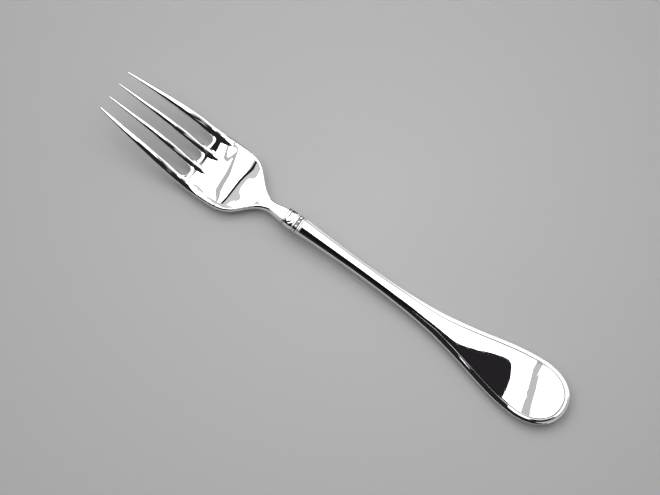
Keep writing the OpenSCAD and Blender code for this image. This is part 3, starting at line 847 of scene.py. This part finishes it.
def rim_share(b, d):
    """The border: up in a quarter of an ellipse, and then gently on to its inner edge."""
    return (BORDER_LAND
            + (BORDER_TOP - BORDER_LAND - BORDER_TILT) * quarter(d / (b * BORDER_ROUND))
            + BORDER_TILT * np.minimum(d / b, 1))


def panel_share(s, b, d):
    """The panel: a low arch from the border to the middle."""
    inwards = np.clip((d - b) / np.maximum(straight_half_width(s) - b, PANEL_LEAST), 0, 1)
    return PANEL_HEIGHT + (1 - PANEL_HEIGHT) * (1 - (1 - inwards) ** 2)


def front_height(s, y):
    """Height of the front over the seam."""
    b = border(s)
    d = edge_distance(s, y)
    inside = ease((d - b * PANEL_FROM) / (b * (1 - PANEL_FROM)))
    blade = mix(rim_share(b, d), panel_share(s, b, d), inside)
    stem = squarish(np.clip(1 - d / straight_half_width(s), 0, 1), STEM_POWER)
    wide = ease((s - STEM_END) / STEM_FADE)
    line = LINE_DEPTH * np.exp(-((d - b) / LINE_REACH) ** 2)
    return crown(s) * mix(BORDER_LAND + (1 - BORDER_LAND) * stem, blade, wide) - line


show("front over the seam before the round end:", front_height(END_START, 0.0))

# %% [markdown]
# A shell is an outer and an inner grid with the same rows and columns, and four strips of faces
# that join their edges. The solidify modifier would do the same, but where the round end turns
# tightly it lets the inner sheet cross itself. Here the inside has its own outline, drawn in by
# the wall.

# %% Shell of two grids
HANDLE_ROWS = 240
END_ROWS = 120
LAST_ANGLE = math.radians(89)
SHELL_WALL = 0.4

angles = np.linspace(0, LAST_ANGLE, END_ROWS + 1)[1:]
handle_rows = np.concatenate([np.linspace(MOUTH, END_START, HANDLE_ROWS),
                              END_START + END_LENGTH * np.sin(angles)])


def shell(name, outer, inner, node):
    """Closed shell from an outer and an inner grid with the same rows and columns."""
    rows, columns = outer.shape[:2]
    count = rows * columns
    points = np.concatenate([outer.reshape(-1, 3), inner.reshape(-1, 3)])
    faces = [grid_faces(rows, columns), grid_faces(rows, columns, count, True)]
    a = np.arange(rows - 1) * columns
    for edge in (a, a + columns - 1):
        faces.append(np.stack([edge, edge + columns, count + edge + columns, count + edge], -1))
    a = np.arange(columns - 1)
    for edge in (a, a + (rows - 1) * columns):
        faces.append(np.stack([edge, edge + 1, count + edge + 1, count + edge], -1))
    return make_piece(name, points, np.concatenate(faces), "handle_silver", node)


def inner_grid(columns, side):
    """The inside of a half: outline, crown and depth drawn in by the wall."""
    t = mix(MOUTH, LENGTH - SHELL_WALL, (handle_rows - MOUTH) / (LENGTH - MOUTH))[:, None]
    turn = end_turn(t, END_LENGTH - SHELL_WALL)
    w = (straight_half_width(t) - SHELL_WALL) * turn
    reach = ((crown(t) if side > 0 else depth(t)) - SHELL_WALL) * turn
    z = seam_height(t) + side * reach * squarish(np.abs(columns), END_POWER)
    return points_at(t, w * columns, z)


print("rows and wall:", len(handle_rows), SHELL_WALL)

# %% [markdown]
# The front's fine columns follow the border: they crowd towards the edge and end a little inside
# the sunk line. A few columns across the panel are enough between them. Columns are shares of
# the half width, so they stay in order where the end turns round.

# %% Build the front shell
SIDE_COLUMNS = 56
PANEL_COLUMNS = 26
RIM_SPAN = 1.25
RIM_LIMIT = 0.75

s = handle_rows[:, None]
width = handle_half_width(handle_rows)[:, None]
share = np.minimum(border(handle_rows)[:, None] * slant(straight_half_width, s, HANDLE_LEAN_STEP)
                   / width, RIM_LIMIT)
rim_part = RIM_SPAN * (1 - np.cos(np.linspace(0, math.pi / 2, SIDE_COLUMNS)))
panel_part = np.linspace(1, 0, PANEL_COLUMNS)[1:-1]
columns = np.concatenate([1 - share * rim_part, (1 - share * RIM_SPAN) * panel_part], 1)
columns = np.concatenate([-columns, 0 * share, columns[:, ::-1]], 1)
y = columns * width
z = seam_height(s) + front_height(s, y)
seam_left = points_at(s, -width, seam_height(s))
seam_right = seam_left * [1, -1, 1]
outer = np.concatenate([seam_left, points_at(s, y, z), seam_right], 1)
inner_columns = np.concatenate([[-1], columns.mean(0), [1]])
front_shell = shell("front_shell", outer, inner_grid(inner_columns, 1), "handle_front_shell")

# %% [markdown]
# Shade along the sunk line inside the border is painted into the colour. Its place isn't a
# plain pattern in space, so each point of the front keeps how near it is to the line, as an
# attribute named groove, and the finish reads it to paint the shade.

# %% Mark the line inside the border
GROOVE_REACH = 0.45

spots = np.array([vertex.co for vertex in front_shell.data.vertices]) / MM
from_edge = edge_distance(spots[:, 0] - tips_x, spots[:, 1])
in_groove = np.exp(-((from_edge - border(spots[:, 0] - tips_x)) / GROOVE_REACH) ** 2)
groove = front_shell.data.attributes.new("groove", "FLOAT", "POINT")
groove.data.foreach_set("value", in_groove.astype(np.float32))
print("points on the line inside the border:", (in_groove > 0.5).sum())

# %% [markdown]
# The back is plain and full, a squarish arch from seam to seam that goes flat where it rests on
# the table.

# %% Build the back shell
BACK_COLUMNS = 34
BACK_POWER = 2.5
BACK_END_POWER = 0.35

back_half = np.cos(np.linspace(0, math.pi / 2, BACK_COLUMNS))[:-1] ** (2 / BACK_POWER)
back_columns = np.concatenate([-back_half, [0], back_half[::-1]])
sink = depth(s) * squarish(np.abs(back_columns), BACK_POWER) * end_turn(s) ** BACK_END_POWER
outer = points_at(s, back_columns * width, np.maximum(seam_height(s) - sink, 0))
shell("back_shell", outer, inner_grid(back_columns, -1), "handle_back_shell")

# %% [markdown]
# ## Finishes
# Polished silver mirrors almost everything, so its colour is light and nearly neutral. What
# makes it real is the trace of use: hairline scratches and a faint haze of wiping. Shade in the
# sunk line of the front and between the rings and beads is painted into the colour as a dark
# film. A painted image could hold these, but it would need unwrapping and would be coarse
# close by. Noise in the fork's own space is sharp at any size.
#
# Sums of node outputs are written as plain expressions: one small class wraps an output, and
# each operator adds a Math node.

# %% Expressions on node outputs
class Field:
    """A node's output that takes part in sums and products."""

    def __init__(self, finish, socket):
        self.finish = finish
        self.socket = socket

    def __add__(self, other):
        return self.finish.maths("ADD", self, other)

    def __sub__(self, other):
        return self.finish.maths("SUBTRACT", self, other)

    def __rsub__(self, other):
        return self.finish.maths("SUBTRACT", other, self)

    def __mul__(self, other):
        return self.finish.maths("MULTIPLY", self, other)

    def __pow__(self, other):
        return self.finish.maths("POWER", self, other)

    def __abs__(self):
        return self.finish.maths("ABSOLUTE", self)

    __radd__ = __add__
    __rmul__ = __mul__


# %% One material and its nodes
class Finish:
    """One material and the nodes that make it."""

    def __init__(self, name):
        self.material = bpy.data.materials.new(name)
        self.material.use_nodes = True
        self.nodes = self.material.node_tree.nodes
        self.links = self.material.node_tree.links
        self.nodes.clear()
        self.place = self.node("ShaderNodeTexCoord", output="Object")

    def node(self, kind, inputs=None, output=0, **settings):
        """A node of any kind: its settings first, then a value or link for its sockets."""
        node = self.nodes.new(kind)
        for name, value in settings.items():
            setattr(node, name, value)
        for key, value in (inputs or {}).items():
            if isinstance(value, Field):
                self.links.new(value.socket, node.inputs[key])
            else:
                node.inputs[key].default_value = value
        return Field(self, node.outputs[output]) if node.outputs else node

    def maths(self, operation, *values):
        return self.node("ShaderNodeMath", dict(enumerate(values)), operation=operation)

    def noise(self, scale, detail, stretch=(1, 1, 1)):
        """Cloudy pattern in the fork's own frame, with cells of about 1 / scale metres."""
        place = self.node("ShaderNodeVectorMath", {0: self.place, 1: stretch},
                          operation="MULTIPLY")
        return self.node("ShaderNodeTexNoise", {"Vector": place, "Scale": scale,
                                                "Detail": detail}, output="Fac")

    def ramp(self, value, low, high):
        """0 below low, 1 above high."""
        return self.node("ShaderNodeMapRange", {0: value, 1: low, 2: high})

    def blend(self, share, first, second):
        """Mix of two colours."""
        return self.node("ShaderNodeMix", {0: share, 6: first, 7: second}, output=2,
                         data_type="RGBA")

    def surface(self, **sockets):
        """Ends the material in a shader with these sockets. An underscore is a space."""
        names = {k.replace("_", " "): v for k, v in sockets.items()}
        shader = self.node("ShaderNodeBsdfPrincipled", names)
        self.node("ShaderNodeOutputMaterial", {"Surface": shader})
        print(self.material.name, len(self.nodes), "nodes")
        return self.material


# %% [markdown]
# A wiping cloth goes along the fork, so the haze is drawn out along it, and the scratches much
# more so. A scratch is where a long thin noise crosses its middle value. It is a little duller
# than the polish, and cut in by a trace. Painted shade is a dark, slightly dull film in the
# colour.

# %% Polished silver
SILVER = (0.93, 0.925, 0.915, 1)
WORN_SHARE = 0.975
WORN_SILVER = tuple(WORN_SHARE * c for c in SILVER[:3]) + (1,)
WORN_MOST = 0.35
WORN_FROM, WORN_TO = 0.35, 0.75
WIPING_SCALE, WIPING_STRETCH = 120, (0.25, 1, 1)
WIPING_HAZE = 0.004
SCRATCH_STRETCH = (0.04, 1, 1)
SCRATCH_HALF = 0.02
SCRATCH_HAZE = 0.006
SCRATCH_BUMP, SCRATCH_DEPTH = 0.003, 0.00002
# Colour, strength and added haze of the painted shade.
PAINTED_SHADE = (0.07, 0.06, 0.05, 1)
PAINTED_SHADE_MOST = 0.95
PAINTED_SHADE_HAZE = 0.04


def silver(name, haze, scratch_scale, deep):
    """Mirror-bright silver. deep makes a field that is 1 where shade is painted into the colour.
    """
    finish = Finish(name)
    wiped = finish.noise(WIPING_SCALE, 4, WIPING_STRETCH)
    scratches = finish.noise(scratch_scale, 2, SCRATCH_STRETCH)
    lines = finish.ramp(abs(scratches - 0.5), 0.0, SCRATCH_HALF)
    rough = haze + WIPING_HAZE * wiped + SCRATCH_HAZE * (1 - lines)
    colour = finish.blend(finish.ramp(wiped, WORN_FROM, WORN_TO) * WORN_MOST, SILVER,
                          WORN_SILVER)
    if deep:
        # Painted shade: where the field is 1 the colour turns to a dark film and the haze rises.
        painted_shade_share = deep(finish)
        colour = finish.blend(painted_shade_share * PAINTED_SHADE_MOST, colour, PAINTED_SHADE)
        rough = rough + PAINTED_SHADE_HAZE * painted_shade_share
    height = finish.node("ShaderNodeBump", {"Height": lines, "Strength": SCRATCH_BUMP,
                                            "Distance": SCRATCH_DEPTH})
    return finish.surface(Base_Color=colour, Metallic=1.0, Roughness=rough, Normal=height)


# %% [markdown]
# Painted shade needs to know where shade falls. On the front shell that is along the sunk
# line, kept in the groove attribute. Between the rings and beads it is how deep a point lies
# under the collar's oval.

# %% Where shade is painted
GROOVE_MOST = 0.95
RING_DEEP, BEAD_DEEP, OVAL_TOP = 0.87, 0.86, 0.95


# Painted shade along the sunk line inside the border.
def along_groove(finish):
    return GROOVE_MOST * finish.node("ShaderNodeAttribute", output="Fac",
                                     attribute_name="groove")


def under_oval(finish, start):
    """Painted shade: 1 deep between the rings and beads, 0 near their outer oval."""
    y, z = (finish.node("ShaderNodeSeparateXYZ", {0: finish.place}, output=axis)
            for axis in (1, 2))
    y = abs(y) * (1 / (collar_across * MM))
    z = abs(z - COLLAR_HEIGHT * MM) * (1 / (collar_up * MM))
    return 1 - finish.ramp(squarish_reach(y, z, OVAL_POWER), start, OVAL_TOP)


# %% Put silver on the pieces
# name, haze, scale of the scratches, where shade is painted, pieces
POLISHES = [
    ("head_polish", 0.005, 1500, None, ["forged_head"]),
    ("handle_polish", 0.005, 1400, None, ["back_shell"]),
    ("front_polish", 0.005, 1400, along_groove, ["front_shell"]),
    ("ring_polish", 0.015, 2600, lambda finish: under_oval(finish, RING_DEEP),
     ["collar_band", "front_ring", "rear_ring", "handle_mouth_ring"]),
    ("bead_polish", 0.03, 2600, lambda finish: under_oval(finish, BEAD_DEEP), ["bead_row"])]


def paint(piece, material):
    piece.data.materials.clear()
    piece.data.materials.append(material)


for name, haze, scratch_scale, deep, pieces in POLISHES:
    material = silver(name, haze, scratch_scale, deep)
    for piece in pieces:
        paint(bpy.data.objects[piece], material)

# %% [markdown]
# The handle's filler is cement that was poured in and set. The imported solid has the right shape,
# so it stays and only gets a dull, grainy finish. It is hidden while the shells are closed.

# %% Filler inside the handle
GRAIN_SCALE = 900
CEMENT_DARK = (0.5, 0.45, 0.39, 1)
CEMENT_LIGHT = (0.62, 0.57, 0.5, 1)
CEMENT_BUMP, CEMENT_DEPTH = 0.4, 0.0001

cement = Finish("cast_cement")
grain = cement.noise(GRAIN_SCALE, 6)
cement_bump = cement.node("ShaderNodeBump", {"Height": grain, "Strength": CEMENT_BUMP,
                                             "Distance": CEMENT_DEPTH})
cement_colour = cement.blend(grain, CEMENT_DARK, CEMENT_LIGHT)
cement.surface(Base_Color=cement_colour, Roughness=0.9, Normal=cement_bump)
paint(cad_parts["handle_filler"], cement.material)

# %% [markdown]
# ## The studio
# A mirror is only as good as what it shows. Silver under one soft lamp looks like grey plastic,
# so the studio is built from plain flat cards, and each makes one tone on the fork. Most of them
# hang in one layer, high over the table, a few centimetres apart so that none cuts through
# another. The camera doesn't see them, but the silver does. Sizes here are in metres, and x
# runs east along the fork.

# %% Sheets and cards
HIGH = 3.0
LOW = 1.0
WHITE = (1, 1, 1, 1)
WALL_WHITE = (1, 0.99, 0.995, 1)
NEAR_BLACK = (0.03, 0.03, 0.03, 1)
BLACK = (0, 0, 0, 1)


def sheet(name, outline, height):
    """Flat sheet of the studio, which isn't part of the fork."""
    mesh = bpy.data.meshes.new(name)
    mesh.from_pydata([(x, y, height) for x, y in outline], [], [range(len(outline))])
    flat = bpy.data.objects.new(name, mesh)
    bpy.context.scene.collection.objects.link(flat)
    flat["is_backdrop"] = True
    return flat


def card(name, outline, height, colour, light=0.0):
    """Sheet that the camera doesn't see, of a plain colour or glowing evenly."""
    flat = sheet(name, outline, height)
    flat.visible_camera = False
    finish = Finish(name)
    glow = {"Emission_Color": colour, "Emission_Strength": light} if light else {}
    finish.surface(Base_Color=BLACK if light else colour, Roughness=1.0 if light else 0.9,
                   Specular_IOR_Level=0.0, **glow)
    paint(flat, finish.material)
    return flat


def strip(name, line, half, height, colour, light=0.0):
    """Card along a line, of even width from west to east."""
    outline = [(x - half, y) for x, y in line] + [(x + half, y) for x, y in reversed(line)]
    return card(name, outline, height, colour, light)


def box_outline(x_range, y_range):
    (a, b), (c, d) = x_range, y_range
    return [(a, c), (b, c), (b, d), (a, d)]


# %% [markdown]
# The table is matt and pale grey, with a faint cloudiness. A pool of light round the fork is
# painted into its colour: the table is a little lighter there than further out, as under a
# window, while the light on the fork stays even.

# %% Table with a painted pool of light
TABLE_HALF = 6
PAINTED_LIGHT_CENTRE = (0.0, 0.03, 0)
PAINTED_LIGHT_RADIUS = 0.2
TABLE_IN_PAINTED_LIGHT = (0.456, 0.457, 0.459, 1)
TABLE_CLOUD_IN_PAINTED_LIGHT = (0.464, 0.465, 0.466, 1)
TABLE_BEYOND_PAINTED_LIGHT = (0.348, 0.349, 0.352, 1)

table = sheet("table", box_outline((-TABLE_HALF, TABLE_HALF), (-TABLE_HALF, TABLE_HALF)), 0)
matt = Finish("pale_table")
cloud = matt.noise(6, 2)
# Painted pool of light: the colour goes from the lit tone near the fork to a darker tone further
# out.
from_painted_light_centre = matt.node("ShaderNodeVectorMath", {0: matt.place, 1: PAINTED_LIGHT_CENTRE}, output="Value",
                 operation="DISTANCE")
painted_light_colour = matt.blend(cloud, TABLE_IN_PAINTED_LIGHT, TABLE_CLOUD_IN_PAINTED_LIGHT)
matt_colour = matt.blend(matt.ramp(from_painted_light_centre, 0.0, PAINTED_LIGHT_RADIUS), painted_light_colour, TABLE_BEYOND_PAINTED_LIGHT)
matt.surface(Base_Color=matt_colour, Roughness=0.75, Specular_IOR_Level=0.2)
paint(table, matt.material)

# %% [markdown]
# Two large white panels light the fork and make its white faces, with a smaller one over the
# north-east corner. They are area lamps, which light the table softly and show in the silver as
# flat white. A lamp of W watts and A square metres glows with W / (pi * A).

# %% Panels overhead
NORTH = 4.1
WEST_END = 1.1
EAST_END = 0.62
PANEL_LIGHT = 2.3
CORNER_LIGHT = 1.6


def panel(name, x_range, y_range, level_of_light):
    """White panel facing down, as bright all over as level_of_light."""
    width, depth_m = x_range[1] - x_range[0], y_range[1] - y_range[0]
    light = bpy.data.lights.new(name, "AREA")
    light.shape = "RECTANGLE"
    light.size, light.size_y = width, depth_m
    light.energy = level_of_light * math.pi * width * depth_m
    lamp = bpy.data.objects.new(name, light)
    lamp.location = (sum(x_range) / 2, sum(y_range) / 2, HIGH)
    bpy.context.scene.collection.objects.link(lamp)
    show(name, width, depth_m)


panel("main_panel", (-0.9, EAST_END), (-0.9, NORTH), PANEL_LIGHT)
panel("west_panel", (-4.0, -WEST_END), (-3.0, 3.4), PANEL_LIGHT)
panel("north_east_panel", (EAST_END, 3.0), (2.9, NORTH), CORNER_LIGHT)

# %% [markdown]
# Between the main and the west panel runs a strip of pale wall, with the dark frame of the panel
# along it. The silver shows them as a light grey band with a dark line. A grey wall fills the
# space east of the main panel.

# %% Walls and frame between the panels
WALL_LAYER, FRAME_LAYER, TOP_LAYER = HIGH - 0.04, HIGH - 0.05, HIGH - 0.06
WALL_LIGHT = 0.64
GREY_LIGHT = 0.42
FRAME_HALF = 0.09
FRAME_LINE = [(-1.1, -0.9), (-1.115, -0.3), (-1.114, -0.025), (-1.076, 0.112), (-0.93, 0.5),
              (-0.854, 0.87), (-0.86, 1.3), (-0.9, 1.82), (-1.0, 2.6), (-1.1, 4.2)]
WALL_EDGE = [(-1.6, 4.2), (-1.39, 2.07), (-1.17, 1.27), (-1.15, 1.0), (-1.165, 0.6),
             (-1.3, 0.16), (-1.4, -0.9)]

card("grey_wall", box_outline((EAST_END, 3), (-0.9, 2.9)), HIGH, WHITE, GREY_LIGHT)
card("pale_wall", FRAME_LINE + WALL_EDGE, WALL_LAYER, WALL_WHITE, WALL_LIGHT)
card("north_wall_top", box_outline((-4, -0.1), (3.05, 4.2)), TOP_LAYER, WALL_WHITE, WALL_LIGHT)
strip("frame_of_panel", FRAME_LINE, FRAME_HALF, FRAME_LAYER, NEAR_BLACK)

# %% [markdown]
# Two narrow grey laths hang under the panels. The silver shows them as soft grey strips, one
# over the palm and one over the round end.

# %% Laths
LATH_HALF = 0.045
LATH_LIGHT, END_LATH_LIGHT = 0.51, 0.55
LATH_LINE = [(-0.19, -0.5), (-0.2, -0.238), (-0.226, 0.04), (-0.244, 0.22), (-0.277, 0.594),
             (-0.3, 0.845), (-0.333, 1.42), (-0.403, 2.11), (-0.56, 2.83), (-0.7, 3.8)]
END_LATH = [(0.165, 0.7), (0.2, 0.95), (0.26, 1.115), (0.305, 1.27), (0.3, 1.9), (0.235, 1.9),
            (0.212, 1.4), (0.205, 1.257), (0.19, 1.112), (0.155, 0.961), (0.12, 0.798),
            (0.1, 0.7)]

strip("lath_over_palm", LATH_LINE, LATH_HALF, FRAME_LAYER, WHITE, LATH_LIGHT)
card("lath_over_end", END_LATH, FRAME_LAYER, WHITE, END_LATH_LIGHT)

# %% [markdown]
# Two dark flags hang over the near side. The high one darkens the near flanks of the tines and
# the near half of the stem. The low one hangs closer, so that it shows only in the handle, as
# its dark patch. Their corners are cut off again and again until the outlines are smooth.

# %% Dark flags
DARK = (1, 0.91, 1.09, 1)
DARKNESS = 0.018
FLAG_LAYER = HIGH - 0.07
FLAG = [(-0.6, -2.1), (-0.45, -0.9), (-0.1, -0.45), (0.0, -0.25), (0.1, -0.12), (0.2, -0.02),
        (0.24, 0.2), (0.27, 0.5), (0.295, 0.7), (0.33, 0.72), (0.38, 0.69), (0.42, 0.68),
        (0.5, 0.85), (0.6, 0.8), (0.64, 0.2), (0.75, -0.2), (0.9, -1.2), (3.0, -2.2),
        (3.0, -3.4), (-1.5, -3.4)]
LOW_FLAG = [(0.14, -0.3), (0.14, 0.12), (0.15, 0.2), (0.158, 0.25), (0.168, 0.245),
            (0.176, 0.245), (0.184, 0.28), (0.19, 0.305), (0.196, 0.335), (0.203, 0.36),
            (0.208, 0.395), (0.213, 0.43), (0.225, 0.43), (0.24, 0.4), (0.26, 0.3),
            (0.3, 0.1), (0.3, -0.3)]
CORNER_CUTS = 2


def rounded(corners):
    """Outline whose corners are cut off at a quarter of each side, CORNER_CUTS times."""
    for _ in range(CORNER_CUTS):
        following = corners[1:] + corners[:1]
        corners = [tuple(a + (b - a) * q for a, b in zip(p, n))
                   for p, n in zip(corners, following) for q in (0.25, 0.75)]
    return corners


card("black_flag", rounded(FLAG), FLAG_LAYER, DARK, DARKNESS)
card("low_flag", rounded(LOW_FLAG), LOW, DARK, DARKNESS)

# %% [markdown]
# Steep flanks mirror what stands round the table and not what hangs over it. A black backdrop
# stands on the near side, and a white and a dark wall on the far side.

# %% Walls round the table
BACKDROP_TOP = 2.4
NORTH_WALL_LIGHT = 1.3


def wall(name, y, x_range, z_range, colour, light=0.0):
    """Upright card that faces the fork."""
    (a, b), (low, high) = x_range, z_range
    flat = card(name, [(a, y), (b, y), (b, y), (a, y)], 0, colour, light)
    for corner, z in zip(flat.data.vertices, (low, low, high, high)):
        corner.co.z = z


wall("black_backdrop", -2.0, (-0.7, 3.5), (0.0, BACKDROP_TOP), DARK, DARKNESS)
wall("white_north_wall", 4.2, (-0.1, 4.0), (0.5, BACKDROP_TOP), WHITE, NORTH_WALL_LIGHT)
wall("dark_north_wall", 3.0, (-4.0, -0.1), (0.0, 1.5), NEAR_BLACK)

# %% [markdown]
# What no card covers is an even grey room. Standard view keeps a colour about as it is written.

# %% Room
ROOM = (0.6, 0.6, 0.61, 1)

world = bpy.data.worlds.new("room")
bpy.context.scene.world = world
world.use_nodes = True
world.node_tree.nodes["Background"].inputs["Color"].default_value = ROOM
bpy.context.scene.view_settings.view_transform = "Standard"
show("room:", *ROOM[:3])

# %% Sizes of the visual model, and the end
low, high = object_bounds()
show("visual model, mm:", *(v / MM for v in (*low, *high)))
